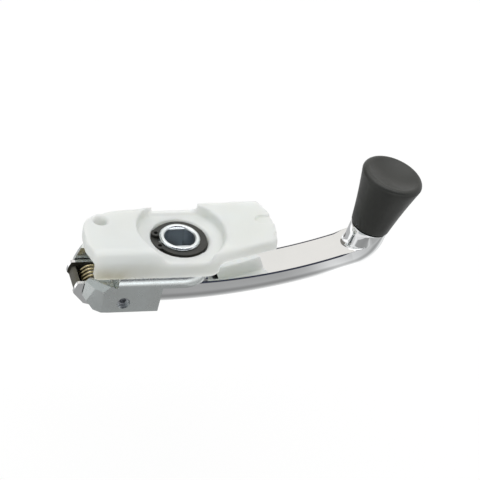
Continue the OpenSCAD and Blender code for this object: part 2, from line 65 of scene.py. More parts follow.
def noise(tree, place, scale, detail=3.0, rough=0.55):
    node = tree.nodes.new("ShaderNodeTexNoise")
    node.inputs["Detail"].default_value = detail
    node.inputs["Roughness"].default_value = rough
    if isinstance(scale, (int, float)):
        node.inputs["Scale"].default_value = scale
    else:
        tree.links.new(scale, node.inputs["Scale"])
    tree.links.new(place, node.inputs["Vector"])
    return node.outputs["Fac"]


def spread(tree, value, low, high, to_low=0.0, to_high=1.0):
    """A smooth step from one level to another while a value crosses the range low to high."""
    node = tree.nodes.new("ShaderNodeMapRange")
    node.interpolation_type = "SMOOTHSTEP"
    tree.links.new(value, node.inputs["Value"])
    node.inputs["From Min"].default_value = low
    node.inputs["From Max"].default_value = high
    for name, number in (("To Min", to_low), ("To Max", to_high)):
        if isinstance(number, (int, float)):
            node.inputs[name].default_value = number
        else:
            tree.links.new(number, node.inputs[name])
    return node.outputs["Result"]


def patches_group():
    """Slow patches of two tones with their own gloss, and a fine grain."""
    tree, give, take = shader_group("surface_patches", [
        ("Tone A", "NodeSocketColor", (0.5, 0.5, 0.5, 1)),
        ("Tone B", "NodeSocketColor", (0.5, 0.5, 0.5, 1)),
        ("Patch Scale", "NodeSocketFloat", 90.0),
        ("Gloss Low", "NodeSocketFloat", 0.3),
        ("Gloss High", "NodeSocketFloat", 0.4),
        ("Grain Scale", "NodeSocketFloat", 1500.0),
    ], [("Color", "NodeSocketColor"), ("Roughness", "NodeSocketFloat"), ("Grain", "NodeSocketFloat")])
    place = tree.nodes.new("ShaderNodeTexCoord").outputs["Object"]
    patch = noise(tree, place, give.outputs["Patch Scale"])
    mix = tree.nodes.new("ShaderNodeMix")
    mix.data_type = "RGBA"
    tree.links.new(spread(tree, patch, 0.36, 0.64), mix.inputs[0])
    tree.links.new(give.outputs["Tone A"], mix.inputs[6])
    tree.links.new(give.outputs["Tone B"], mix.inputs[7])
    tree.links.new(mix.outputs[2], take.inputs["Color"])
    grain = noise(tree, place, give.outputs["Grain Scale"], 4.0, 0.6)
    smear = noise(tree, place, 260.0, 4.0, 0.6)
    tree.links.new(spread(tree, smear, 0.3, 0.7, give.outputs["Gloss Low"], give.outputs["Gloss High"]),
                   take.inputs["Roughness"])
    tree.links.new(grain, take.inputs["Grain"])
    return tree


PATCHES = patches_group()


def finish(name, tone_a, tone_b, gloss, grain=(1500.0, 0.02), patch=90.0, **fixed):
    """A material of two close tones, a range of gloss and a fine grain; fixed sets sockets."""
    material = bpy.data.materials.new(name)
    material.use_nodes = True
    tree = material.node_tree
    shader = tree.nodes["Principled BSDF"]
    group = tree.nodes.new("ShaderNodeGroup")
    group.node_tree = PATCHES
    group.inputs["Tone A"].default_value = (*tone_a, 1)
    group.inputs["Tone B"].default_value = (*tone_b, 1)
    group.inputs["Patch Scale"].default_value = patch
    group.inputs["Gloss Low"].default_value = gloss[0]
    group.inputs["Gloss High"].default_value = gloss[1]
    group.inputs["Grain Scale"].default_value = grain[0]
    tree.links.new(group.outputs["Color"], shader.inputs["Base Color"])
    tree.links.new(group.outputs["Roughness"], shader.inputs["Roughness"])
    bump = tree.nodes.new("ShaderNodeBump")
    bump.inputs["Strength"].default_value = grain[1]
    bump.inputs["Distance"].default_value = 0.0002
    tree.links.new(group.outputs["Grain"], bump.inputs["Height"])
    tree.links.new(bump.outputs["Normal"], shader.inputs["Normal"])
    for socket, value in fixed.items():
        shader.inputs[socket.replace("_", " ")].default_value = value
    return material


NYLON = finish("nylon", (0.75, 0.775, 0.758), (0.735, 0.755, 0.732), (0.36, 0.48), (900.0, 0.05), 60.0,
               Subsurface_Weight=1.0, Subsurface_Radius=(1.0, 0.97, 0.91), Subsurface_Scale=0.006)
PLATED = finish("plated_steel", (0.72, 0.765, 0.78), (0.69, 0.73, 0.745), (0.24, 0.31),
                (1800.0, 0.03), 90.0, Metallic=1.0)
BLACK_STEEL = finish("black_steel", (0.020, 0.0212, 0.019), (0.033, 0.033, 0.028), (0.38, 0.52),
                     (1600.0, 0.08), 300.0, Specular_IOR_Level=0.35)
ZINC = finish("cast_zinc", (0.68, 0.715, 0.71), (0.645, 0.67, 0.66), (0.245, 0.285), (1300.0, 0.012), 120.0,
              Metallic=1.0)
STEEL = finish("steel", (0.50, 0.51, 0.53), (0.42, 0.43, 0.45), (0.25, 0.4), (1800.0, 0.04), 200.0,
               Metallic=1.0)
CHROME = finish("chrome", (0.79, 0.79, 0.795), (0.765, 0.77, 0.775), (0.03, 0.07), (240.0, 0.005), 50.0,
                Metallic=1.0)
GOLD = finish("gold_wire", (0.50, 0.43, 0.26), (0.38, 0.32, 0.18), (0.22, 0.34), (1800.0, 0.03), 250.0,
              Metallic=1.0)
PLASTIC = finish("black_plastic", (0.025, 0.026, 0.0235), (0.031, 0.032, 0.029), (0.36, 0.46),
                 (2600.0, 0.08), 70.0, Specular_IOR_Level=0.32)


def place_parts(tree):
    """Object coordinates of the point: all three together, then X, Y and Z."""
    place = tree.nodes.new("ShaderNodeTexCoord").outputs["Object"]
    parts = tree.nodes.new("ShaderNodeSeparateXYZ")
    tree.links.new(place, parts.inputs[0])
    return place, parts.outputs["X"], parts.outputs["Y"], parts.outputs["Z"]


def maths(tree, operation, *values):
    node = tree.nodes.new("ShaderNodeMath")
    node.operation = operation
    for socket, value in zip(node.inputs, values):
        if isinstance(value, (int, float)):
            socket.default_value = value
        else:
            tree.links.new(value, socket)
    return node.outputs[0]


def change_where(material, mask, tone, rough=None):
    """Brings the colour of a material, and its gloss, to other values where the mask is 1."""
    tree = material.node_tree
    shader = tree.nodes["Principled BSDF"]
    for name, kind, a, b, out, value in (("Base Color", "RGBA", 6, 7, 2, (*tone, 1)),
                                         ("Roughness", "FLOAT", 2, 3, 0, rough)):
        if value is None:
            continue
        mix = tree.nodes.new("ShaderNodeMix")
        mix.data_type = kind
        tree.links.new(mask, mix.inputs[0])
        tree.links.new(shader.inputs[name].links[0].from_socket, mix.inputs[a])
        mix.inputs[b].default_value = value
        tree.links.new(mix.outputs[out], shader.inputs[name])


# in the pocket of the spring the arm is made dark and dull
tree = CHROME.node_tree
place, x, y, z = place_parts(tree)
mask = maths(tree, "MULTIPLY", spread(tree, x, -0.0172, -0.0162, 1.0, 0.0),
             spread(tree, maths(tree, "ABSOLUTE", y), 0.00456, 0.00464, 1.0, 0.0))
change_where(CHROME, mask, (0.12, 0.115, 0.095), 0.5)

# the drive socket of the hub is made darker and duller than its plated face
tree = PLATED.node_tree
place, x, y, z = place_parts(tree)
radius = maths(tree, "SQRT", maths(tree, "ADD", maths(tree, "MULTIPLY", x, x),
                                   maths(tree, "MULTIPLY", y, y)))
mask = maths(tree, "MULTIPLY", spread(tree, radius, 0.00488, 0.00496, 1.0, 0.0),
             spread(tree, z, -0.0006, -0.0003, 1.0, 0.0))
change_where(PLATED, mask, (0.52, 0.56, 0.59), 0.34)

# painted shade: the foot of the housing's near wall is made darker and warmer, most of all towards the
# hinge, over the fork
tree = NYLON.node_tree
place, x, y, z = place_parts(tree)
mask = maths(tree, "MULTIPLY", spread(tree, z, -0.0062, 0.001, 1.0, 0.0),
             spread(tree, x, -0.024, -0.006, 1.0, 0.12))
mask = maths(tree, "MULTIPLY", mask, spread(tree, noise(tree, place, 110.0), 0.3, 0.65, 0.6, 1.0))
mask = maths(tree, "MULTIPLY", mask, spread(tree, y, -0.0115, -0.009, 1.0, 0.1))
change_where(NYLON, mask, (0.46, 0.44, 0.345))


# Pieces

def cad_copy(node):
    """A merged copy of a solid's mesh, with its flat faces whole again."""
    bm = bmesh.new()
    bm.from_mesh(frame["nodes"][node].data)
    bmesh.ops.remove_doubles(bm, verts=bm.verts, dist=0.002 * MM)
    bmesh.ops.dissolve_limit(bm, angle_limit=math.radians(1), use_dissolve_boundaries=False,
                             verts=bm.verts, edges=bm.edges)
    return bm


CURVE_DEG, FLAT_DEG = 32, 3


def break_edges(bm, offset, flat_left=None):
    """Rounds each edge sharper than the facets of a curve; left of flat_left no curve is, so all."""
    def least(edge):
        flat_side = flat_left is not None and max(v.co.x for v in edge.verts) < flat_left * MM
        return FLAT_DEG if flat_side else CURVE_DEG

    sharp = [e for e in bm.edges
             if len(e.link_faces) == 2 and math.degrees(e.calc_face_angle(0)) > least(e)]
    bmesh.ops.bevel(bm, geom=sharp, offset=offset, offset_type="OFFSET", affect="EDGES",
                    segments=2, profile=0.5, material=-1, clamp_overlap=True)


def piece(name, bm, body, slot, material, *nodes, sharp_deg=40, even=False):
    """A finished object that rides a body in place of its solids."""
    mesh = bpy.data.meshes.new(name)
    bm.to_mesh(mesh)
    bm.free()
    for spare in [a.name for a in mesh.attributes if a.name == "custom_normal"]:
        mesh.attributes.remove(mesh.attributes[spare])
    mesh.materials.clear()
    mesh.materials.append(material)
    for face in mesh.polygons:
        face.use_smooth = True
        face.material_index = 0
    mesh.set_sharp_from_angle(angle=math.radians(sharp_deg))
    obj = bpy.data.objects.new(name, mesh)
    scene.collection.objects.link(obj)
    if even:
        # flat faces keep one normal beside their rounded edges
        modifier = obj.modifiers.new("even_normals", "WEIGHTED_NORMAL")
        modifier.weight = 100
        modifier.keep_sharp = True
    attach(obj, body)
    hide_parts(*nodes)


def holder(bm, name="work"):
    """A shape as an object, for modifiers to work on."""
    mesh = bpy.data.meshes.new(name)
    bm.to_mesh(mesh)
    bm.free()
    obj = bpy.data.objects.new(name, mesh)
    scene.collection.objects.link(obj)
    return obj


def slice_off(bm, point, normal):
    """Takes off what lies beyond a plane, given in millimetres, and closes the cut."""
    cut = bmesh.ops.bisect_plane(bm, geom=bm.verts[:] + bm.edges[:] + bm.faces[:], dist=1e-7,
                                 clear_outer=True, plane_co=Vector(point) * MM, plane_no=normal)
    bmesh.ops.edgeloop_fill(bm, edges=[e for e in cut["geom_cut"] if isinstance(e, bmesh.types.BMEdge)])
    bmesh.ops.recalc_face_normals(bm, faces=bm.faces)
    return bm


def block(low, high):
    """A box between two corners, in millimetres."""
    bm = bmesh.new()
    bmesh.ops.create_cube(bm, size=1.0)
    low, high = Vector(low) * MM, Vector(high) * MM
    bmesh.ops.scale(bm, vec=high - low, verts=bm.verts)
    bmesh.ops.translate(bm, vec=(low + high) / 2, verts=bm.verts)
    return bm


def combine(bm, steps):
    """Joins or cuts closed shapes one after another and gives the result."""
    body = holder(bm)
    for kind, tool in steps:
        cutter = holder(tool, "tool")
        modifier = body.modifiers.new("join", "BOOLEAN")
        modifier.solver = "EXACT"
        modifier.operation = kind
        modifier.object = cutter
        result = bpy.data.meshes.new_from_object(body.evaluated_get(bpy.context.evaluated_depsgraph_get()))
        body.modifiers.clear()
        body.data = result
        bpy.data.objects.remove(cutter)
    out = bmesh.new()
    out.from_mesh(body.data)
    bpy.data.objects.remove(body)
    return out


def moulded(bm, grid, passes, *zones):
    """A shape with soft edges, as a moulding has them; each zone is a box that is made softer still."""
    body = holder(bm)
    remesh = body.modifiers.new("even_grid", "REMESH")
    remesh.mode = "VOXEL"
    remesh.voxel_size = grid
    soften = body.modifiers.new("soften", "SMOOTH")
    soften.factor = 0.5
    soften.iterations = passes
    mesh = bpy.data.meshes.new_from_object(body.evaluated_get(bpy.context.evaluated_depsgraph_get()))
    bpy.data.objects.remove(body)
    bm = bmesh.new()
    bm.from_mesh(mesh)
    for low, high, more in zones:
        soft = [v for v in bm.verts
                if all(a * MM <= c <= b * MM for a, c, b in zip(low, v.co, high))]
        for _ in range(more):
            bmesh.ops.smooth_vert(bm, verts=soft, factor=0.5,
                                  use_axis_x=True, use_axis_y=True, use_axis_z=True)
    # the grid may stand out by a hair, so it is drawn in
    bmesh.ops.scale(bm, vec=(0.9999, 0.9999, 0.9999), verts=bm.verts)
    return bm


BODY = {n: b for b, ns in frame["record"]["behaviour"]["bodies"].items() for n in ns}
for node, name, slot, material, edge in (
        ("hub_sleeve", "turned_hub", "plated_steel", PLATED, 0.12),
        ("retaining_ring", "black_ring", "black_steel", BLACK_STEEL, 0.1),
        ("thrust_washer", "black_washer", "black_steel", BLACK_STEEL, 0.08),
        ("hinge_pin", "steel_pin", "steel", STEEL, 0.2),
        ("detent_screw", "set_screw", "steel", STEEL, 0.1),
        ("detent_nose", "screw_nose", "steel", STEEL, 0.05),
        ("knob_spindle", "knob_rivet", "steel", STEEL, 0.15)):
    bm = cad_copy(node)
    break_edges(bm, edge * MM)
    piece(name, bm, BODY[node], slot, material, node, even=True)


# Fork: the near ear has a faceted nose, the far one stands higher; both are cut off along the heel

HINGE_X, HINGE_Z = -25.8, -16.9
HEEL = (-0.756, 0, -0.654)
FORK_HEEL, ARM_HEEL = 3.6, 5.4


def heel_point(distance):
    """A point towards the heel, at a distance from the hinge."""
    return HINGE_X + distance * HEEL[0], 0, HINGE_Z + distance * HEEL[2]


far_ear = block((-31.4, 6.203, -16.0), (-22.3, 10.797, -8.75))
slice_off(far_ear, (-30.7, 6.2, -13.06), (-0.866, 0.391, 0.312))
slice_off(far_ear, (-27.8, 10.8, -12.1), (-0.537, 0.713, 0.448))
fork = combine(cad_copy("pivot_bracket"), [("UNION", far_ear)])
slice_off(fork, heel_point(FORK_HEEL), HEEL)
slice_off(fork, (-24.9, -10.55, 0), (-0.593, -0.805, 0))
slice_off(fork, (-29.75, -6.2, -11.7), (-0.706, -0.706, 0.062))
bmesh.ops.remove_doubles(fork, verts=fork.verts, dist=0.01 * MM)
bmesh.ops.dissolve_limit(fork, angle_limit=math.radians(1), use_dissolve_boundaries=False,
                         verts=fork.verts, edges=fork.edges)
break_edges(fork, 0.2 * MM, flat_left=-22.5)
piece("cast_fork", fork, BODY["pivot_bracket"], "cast_zinc", ZINC, "pivot_bracket", even=True)


# Housing: broadly rounded along its near upper edge, nearly square along the far one

HOUSE_HALF_W, HOUSE_TOP, RECESS_R, RECESS_Z = 12.7, 3.0, 13.9, -0.8
EDGE_Y, EDGE_Z, EASE = 7.9, -1.05, 0.005
RIM_Y, RIM_Z = 11.2, 0.25
WELL_H = 10
LEFT_ROUND, LEFT_ROUND_R = Vector((-24.34, 1.73, 0)), 6.3


def far_edge(x0, x1, trim, lean=0.0):
    """A length of the far upper edge, open to the recess; its corner is trimmed, less where it leans."""
    bm = block((x0, EDGE_Y, EDGE_Z), (x1, HOUSE_HALF_W - EASE, HOUSE_TOP - EASE))
    slice_off(bm, (x0, HOUSE_HALF_W, HOUSE_TOP - trim), (lean, 0.707, 0.707))
    well = bmesh.new()
    middle = Matrix.Translation((0, 0, (RECESS_Z + WELL_H / 2 + 0.003) * MM))
    bmesh.ops.create_cone(well, cap_ends=True, segments=128, radius1=RECESS_R * MM,
                          radius2=RECESS_R * MM, depth=WELL_H * MM, matrix=middle)
    return combine(bm, [("DIFFERENCE", well)])


house = combine(cad_copy("bearing_housing"), [
    ("UNION", slice_off(far_edge(-13.4, -6.6, 2.8, -0.13), (-10.8, 12.69, 0), (-0.294, 0.956, 0))),
    ("UNION", far_edge(8.1, 18.5, 0.5)),
    ("UNION", far_edge(18.4, 28.4, 0.1)),
    ("UNION", block((-8.0, RIM_Y, EDGE_Z + 0.01), (9.0, HOUSE_HALF_W - 0.007, RIM_Z)))])
# the slotted end in three flats, the end about the locating hole on a rounder curve
for point, normal in (((28.0, 12.4, 0), (0.958, 0.285, 0)), ((29.1, 8.7, 0), (0.905, 0.426, 0)),
                      ((30.7, 5.3, 0), (0.998, -0.063, 0))):
    slice_off(house, point, normal)
for deg in (125, 145, 165):
    way = Vector((math.cos(math.radians(deg)), math.sin(math.radians(deg)), 0))
    slice_off(house, LEFT_ROUND + LEFT_ROUND_R * way, way)
# the far edge and the slot stay crisp
house = moulded(house, 0.3 * MM, 2,
                ((-40, -20, -20), (40, 0.2, 20), 8),        # near half
                ((-40, 0.2, -20), (22.5, 9, 20), 8),        # far half as far as the slot
                ((-11, -20, -4.2), (11, -10.2, 1.2), 40),   # near edge before the recess
                ((9, -20, -0.7), (40, -3, 4), 60),          # near edge right of the recess
                ((6, -9, -1.5), (16, 9, 4), 30))            # right wall of the recess
piece("nylon_housing", house, BODY["bearing_housing"], "nylon", NYLON, "bearing_housing", sharp_deg=180)


# Arm: one shell swept from ring to ring, then its knuckle, pocket and channel

ARM_HALF_W, ARM_EDGE = 5.8, 0.4
FACE_Z, FACE_R = -14.5, 150.0
CORE_Z = -18.3
SWEEP = math.radians(21.5)
ELBOW_R, ELBOW_CORE = 5.0, 2.7
LEAN = math.radians(12)
BOSS_R, BOSS_H = 5.95, 3.0
FILLET = 1.7
LIP_RIM, LIP_SLOPE = 0.15, 0.22
KNUCKLE_R, END_R, POCKET_R, POCKET_HALF_W, WALL_RISE = 7.19, 6.5, 4.8, 4.55, 1.3
PIN_BORE, SPIGOT_R, SPIGOT_L = 4.1, 3.75, 0.3
LEG_L, LEG_FLOOR = 7.0, -21.8
CHANNEL_Z, CHANNEL_END = -18.1, 13.5
TOP_POINTS, BACK_POINTS = 37, 30


def flat(x, z):
    return Vector((x, z))


def ahead(angle):
    """Direction of the arm in X and Z where it has turned up by angle."""
    return flat(math.cos(angle), math.sin(angle))


def inward(angle):
    """From the back of the arm to its flat face."""
    return flat(-math.sin(angle), math.cos(angle))


bend = flat(FACE_R * math.sin(SWEEP), FACE_Z + FACE_R * (1 - math.cos(SWEEP)))
elbow = bend + ELBOW_R * inward(SWEEP)
core_end = bend - ELBOW_CORE * inward(SWEEP)
core_r = (core_end.y - CORE_Z) / (1 - math.cos(SWEEP))
core_x = core_end.x - core_r * math.sin(SWEEP)
face_centre = flat(0, FACE_Z + FACE_R)
rise = math.pi / 2 - LEAN
boss_axis = ahead(rise)
boss_foot = elbow - (ELBOW_R + ELBOW_CORE) * inward(rise)


def face_height(core, up):
    """Height of the long curved face over a point of the core line."""
    away = core - face_centre
    along = away.dot(up)
    return -along - math.sqrt(along * along - away.length_squared + FACE_R * FACE_R)


def boss_height(core, up, y):
    """Height of the near side of the boss over a point of the core line."""
    start = boss_foot + inward(rise) * math.sqrt(max(BOSS_R * BOSS_R - y * y, 0)) - core
    return start.cross(boss_axis) / up.cross(boss_axis)


def fillet(a, b, r):
    """The higher of two heights, with the corner between them filled."""
    near = max(r - abs(a - b), 0) / r if r > 0 else 0
    return max(a, b) + near * near * r / 4


def ring(core, angle, height, half_w, crisp=1.0):
    """Points of one section: flat face or boss, edges, flanks, round back; crisp scales the edges."""
    up = inward(angle)
    low = max(height, 0.0)
    edge = min(ARM_EDGE * crisp, low)
    slope = LIP_SLOPE * crisp
    inner = half_w - edge - LIP_RIM - slope
    across = [inner * math.sin(math.pi * (i / (TOP_POINTS - 1) - 0.5)) for i in range(TOP_POINTS)]
    rim = [half_w - edge - LIP_RIM, half_w - edge]
    points = []
    for y in [-rim[1], -rim[0]] + across + rim:
        fill = FILLET * (1 - (y / half_w) ** 2)
        sunk = height - (slope if abs(y) <= inner + 1e-9 else 0)
        points.append((y, max(fillet(sunk, boss_height(core, up, y), fill), low - edge)))
    corner = [(half_w, low - edge), (half_w, (low - edge) / 2)]
    back = [(half_w * math.cos(math.pi * i / BACK_POINTS), -half_w * math.sin(math.pi * i / BACK_POINTS))
            for i in range(BACK_POINTS + 1)]
    points += corner + back + [(-y, h) for y, h in reversed(corner)]
    return [Vector((core.x + h * up.x, y, core.y + h * up.y)) * MM for y, h in points]


def arm_rings():
    start = flat(core_x, CORE_Z)
    level = face_height(start, inward(0))
    for x in (HINGE_X - 2.5, (HINGE_X + core_x) / 2):
        yield ring(flat(x, CORE_Z), 0, level, ARM_HALF_W)
    steps = [SWEEP * 0.9 * i / 50 for i in range(50)] + [SWEEP * (0.9 + 0.1 * i / 26) for i in range(26)]
    for angle in steps:
        core = start + flat(math.sin(angle), 1 - math.cos(angle)) * core_r
        crisp = min(1.0, max(0.1, (SWEEP - angle) / (0.05 * SWEEP)))
        yield ring(core, angle, face_height(core, inward(angle)), ARM_HALF_W, crisp)
    for i in range(41):
        angle = SWEEP + (rise - SWEEP) * i / 40
        core = elbow - (ELBOW_R + ELBOW_CORE) * inward(angle)
        height = ELBOW_R + ELBOW_CORE - ELBOW_R / math.cos(angle - SWEEP)
        yield ring(core, angle, height, ARM_HALF_W + (BOSS_R - ARM_HALF_W) * i / 40, 0.1)


def sweep_rings(rings):
    """A tube with closed ends through rings of the same number of points."""
    rings = list(rings)
    bm = bmesh.new()
    verts = bmesh.ops.create_circle(bm, segments=len(rings[0]), radius=MM)["verts"]
    for vert, point in zip(verts, rings[0]):
        vert.co = point
    loop = list(bm.edges)
    bmesh.ops.contextual_create(bm, geom=loop)
    for points in rings[1:]:
        new = bmesh.ops.extrude_edge_only(bm, edges=loop)["geom"]
        fresh = {v for v in new if isinstance(v, bmesh.types.BMVert)}
        after = {}
        for vert in fresh:
            for edge in vert.link_edges:
                if edge.other_vert(vert) not in fresh:
                    after[edge.other_vert(vert)] = vert
        verts = [after[v] for v in verts]
        for vert, point in zip(verts, points):
            vert.co = point
        loop = [e for e in new if isinstance(e, bmesh.types.BMEdge)
                and e.verts[0] in fresh and e.verts[1] in fresh]
    bmesh.ops.contextual_create(bm, geom=loop)
    bmesh.ops.recalc_face_normals(bm, faces=bm.faces)
    return bm


def boss_rings():
    """Straight end of the boss, with a thin broken edge."""
    last = list(arm_rings())[-1]
    axis = Vector((boss_axis.x, 0, boss_axis.y))
    centre = Vector((boss_foot.x, 0, boss_foot.y)) * MM
    for rise_mm, shrink in ((BOSS_H - 0.3, 0.0), (BOSS_H - 0.09, 0.09), (BOSS_H, 0.3)):
        yield [centre + (p - centre) * (1 - shrink / BOSS_R) + axis * rise_mm * MM for p in last]


def barrel(radius, half_w, x=HINGE_X, z=HINGE_Z, segments=96):
    """A cylinder across the arm."""
    bm = bmesh.new()
    bmesh.ops.create_cone(bm, cap_ends=True, segments=segments, radius1=radius * MM, radius2=radius * MM,
                          depth=2 * half_w * MM)
    bmesh.ops.rotate(bm, cent=(0, 0, 0), matrix=Matrix.Rotation(math.pi / 2, 3, "X"), verts=bm.verts)
    bmesh.ops.translate(bm, vec=(x * MM, 0, z * MM), verts=bm.verts)
    return bm


def knuckle(radius, half_w, y=0.0, rise=0.0):
    """A disc about the hinge, cut off at the flat face or above it."""
    bm = barrel(radius, half_w)
    bmesh.ops.translate(bm, vec=(0, y * MM, 0), verts=bm.verts)
    level = face_height(flat(core_x, CORE_Z), inward(0)) + CORE_Z - 0.02 + rise
    return slice_off(bm, (0, 0, level), (0, 0, 1))


def spigot(side):
    """Low round rim inside the pocket, about the hinge bore."""
    bm = barrel(SPIGOT_R, 2 * SPIGOT_L)
    bmesh.ops.translate(bm, vec=(0, side * (POCKET_HALF_W + SPIGOT_L) * MM, 0), verts=bm.verts)
    return bm


def slit(x0, x1, low, ease):
    """An open cut between the side walls; ease keeps its walls off those of the cut before."""
    w = POCKET_HALF_W - ease
    return block((x0, -w, low), (x1, w, -8))


arm = sweep_rings(list(arm_rings()) + list(boss_rings()))
arm = combine(arm, [
    ("UNION", knuckle(END_R, ARM_HALF_W - 0.5)),
    ("UNION", knuckle(KNUCKLE_R, 0.64, 0.65 - ARM_HALF_W, WALL_RISE)),
    ("UNION", knuckle(KNUCKLE_R, 0.64, ARM_HALF_W - 0.65, WALL_RISE))])
# the heel is planed off, slanting and then nearly level
slice_off(arm, heel_point(ARM_HEEL), HEEL)
slice_off(arm, (HINGE_X - 2.6, 0, HINGE_Z - 4.4), (-0.3, 0, -0.954))
arm = combine(arm, [
    ("DIFFERENCE", barrel(POCKET_R, POCKET_HALF_W)),
    ("DIFFERENCE", slit(HINGE_X - POCKET_R + 0.01, HINGE_X + POCKET_R - 0.01, HINGE_Z, 0.004)),
    ("DIFFERENCE", slit(HINGE_X, HINGE_X + LEG_L + 1.5, LEG_FLOOR, 0.008)),
    ("DIFFERENCE", slit(HINGE_X + LEG_L, CHANNEL_END, CHANNEL_Z, 0.012)),
    ("UNION", spigot(-1)),
    ("UNION", spigot(1)),
    ("DIFFERENCE", barrel(PIN_BORE / 2, 8, segments=48))])
bmesh.ops.remove_doubles(arm, verts=arm.verts, dist=0.002 * MM)
bmesh.ops.dissolve_degenerate(arm, edges=arm.edges, dist=0.002 * MM)
piece("chrome_arm", arm, BODY["crank_arm"], "chrome", CHROME, "crank_arm", sharp_deg=30)


# Spring: a wire of round section along a tang, four and a half turns and a leg

COIL_R, WIRE_R, COIL_TURNS, COIL_PITCH = 3.8, 0.45, 4.5, 1.54
COIL_STEPS, WIRE_SIDES = 36, 12


def wire_path():
    side = COIL_TURNS * COIL_PITCH / 2
    yield Vector((0, -side, PIN_BORE / 2 + WIRE_R + 0.25))
    yield Vector((0, -side, COIL_R - 0.9))
    yield Vector((-0.35, -side + 0.02, COIL_R - 0.3))
    for i in range(3, int(COIL_STEPS * COIL_TURNS) + 1):
        turn = math.pi / 2 + 2 * math.pi * i / COIL_STEPS
        yield Vector((COIL_R * math.cos(turn), -side + COIL_PITCH * i / COIL_STEPS,
                      COIL_R * math.sin(turn)))
    for x in (1.0, 3.0, 5.0, LEG_L):
        yield Vector((x, side, -COIL_R))


def wire_rings():
    path = list(wire_path())
    for i, point in enumerate(path):
        along = (path[min(i + 1, len(path) - 1)] - path[max(i - 1, 0)]).normalized()
        u = along.cross(Vector((0.05, 1, 0.03))).normalized()
        v = along.cross(u)
        turns = [2 * math.pi * k / WIRE_SIDES for k in range(WIRE_SIDES)]
        centre = Vector((HINGE_X, 0, HINGE_Z)) + point
        yield [(centre + WIRE_R * (math.cos(t) * u + math.sin(t) * v)) * MM for t in turns]


piece("wire_spring", sweep_rings(wire_rings()), BODY["hinge_spring"], "gold_wire", GOLD, "hinge_spring")


# Knob: one turned profile about its leaning axis

KNOB_FOOT = Vector((61.298, 0, 1.923))
KNOB_BASE_R, KNOB_RIM_R, KNOB_L, KNOB_GAP = 6.3, 9.94, 20.99, 0.5
KNOB_ROUND, KNOB_DISH, KNOB_WAIST, KNOB_FOOT_ROUND = 1.5, 1.7, 0.22, 0.5
RIM_TURN = math.pi * 0.56
SPINDLE_BORE_R, SPINDLE_HEAD_R, SPINDLE_HEAD_LOW, SPINDLE_HEAD_HIGH = 3.05, 4.2, 11.7, 14.3


def knob_profile():
    """Radius and height from the roof of the bore, down and round to the middle of the dish."""
    yield 0, SPINDLE_HEAD_HIGH
    yield SPINDLE_HEAD_R, SPINDLE_HEAD_HIGH
    yield SPINDLE_HEAD_R, SPINDLE_HEAD_LOW
    yield SPINDLE_BORE_R, SPINDLE_HEAD_LOW
    yield SPINDLE_BORE_R, KNOB_GAP
    for i in range(5):
        turn = math.pi / 2 * i / 4
        yield (KNOB_BASE_R - KNOB_FOOT_ROUND * (1 - math.sin(turn)),
               KNOB_GAP + KNOB_FOOT_ROUND * (1 - math.cos(turn)))
    foot, top = KNOB_GAP + KNOB_FOOT_ROUND, KNOB_L - KNOB_ROUND
    for i in range(1, 12):
        share = i / 12
        waist = KNOB_WAIST * math.sin(math.pi * share)
        yield KNOB_BASE_R + (KNOB_RIM_R - KNOB_BASE_R) * share - waist, foot + (top - foot) * share
    for i in range(13):
        turn = RIM_TURN * i / 12
        yield KNOB_RIM_R - KNOB_ROUND * (1 - math.cos(turn)), top + KNOB_ROUND * math.sin(turn)
    edge = KNOB_RIM_R - KNOB_ROUND * (1 - math.cos(RIM_TURN))
    level = top + KNOB_ROUND * math.sin(RIM_TURN)
    for i in range(1, 15):
        r = edge * (1 - i / 14)
        yield r, level - KNOB_DISH * (1 - (r / edge) ** 2)


bm = bmesh.new()
profile = [bm.verts.new((r * MM, 0, z * MM)) for r, z in knob_profile()]
for a, b in zip(profile, profile[1:]):
    bm.edges.new((a, b))
bmesh.ops.spin(bm, geom=bm.verts[:] + bm.edges[:], cent=(0, 0, 0), axis=(0, 0, 1), dvec=(0, 0, 0),
               angle=2 * math.pi, steps=96, use_merge=True, use_duplicate=False)
bmesh.ops.remove_doubles(bm, verts=bm.verts, dist=0.001 * MM)
bmesh.ops.recalc_face_normals(bm, faces=bm.faces)
bmesh.ops.rotate(bm, cent=(0, 0, 0), matrix=Matrix.Rotation(LEAN, 3, "Y"), verts=bm.verts)
bmesh.ops.translate(bm, vec=KNOB_FOOT * MM, verts=bm.verts)
piece("taper_knob", bm, BODY["knob"], "black_plastic", PLASTIC, "knob")


# Stage

def light_rays(tree):
    """1 where a ray comes straight from the camera, from a mirror or through glass."""
    path = tree.nodes.new("ShaderNodeLightPath").outputs
    seen = maths(tree, "MAXIMUM", path["Is Camera Ray"], path["Is Glossy Ray"])
    return maths(tree, "MAXIMUM", seen, path["Is Transmission Ray"])


FLOOR_Z = -0.082
bm = bmesh.new()
bmesh.ops.create_grid(bm, x_segments=1, y_segments=1, size=6.0)
bmesh.ops.translate(bm, vec=(0, 0, FLOOR_Z), verts=bm.verts)
floor_mesh = bpy.data.meshes.new("pale_floor")
bm.to_mesh(floor_mesh)
bm.free()
floor = bpy.data.objects.new("pale_floor", floor_mesh)
scene.collection.objects.link(floor)
floor_paint = bpy.data.materials.new("pale_floor")
floor_paint.use_nodes = True
tree = floor_paint.node_tree
tree.nodes.remove(tree.nodes["Principled BSDF"])
matt = tree.nodes.new("ShaderNodeBsdfDiffuse")
matt.inputs["Color"].default_value = (0.93, 0.93, 0.92, 1)
glow = tree.nodes.new("ShaderNodeEmission")
glow.inputs["Color"].default_value = (1, 1, 1, 1)
glow.inputs["Strength"].default_value = 1.03
mix = tree.nodes.new("ShaderNodeMixShader")
tree.links.new(maths(tree, "MULTIPLY", light_rays(tree), 0.86), mix.inputs[0])
tree.links.new(matt.outputs[0], mix.inputs[1])
tree.links.new(glow.outputs[0], mix.inputs[2])
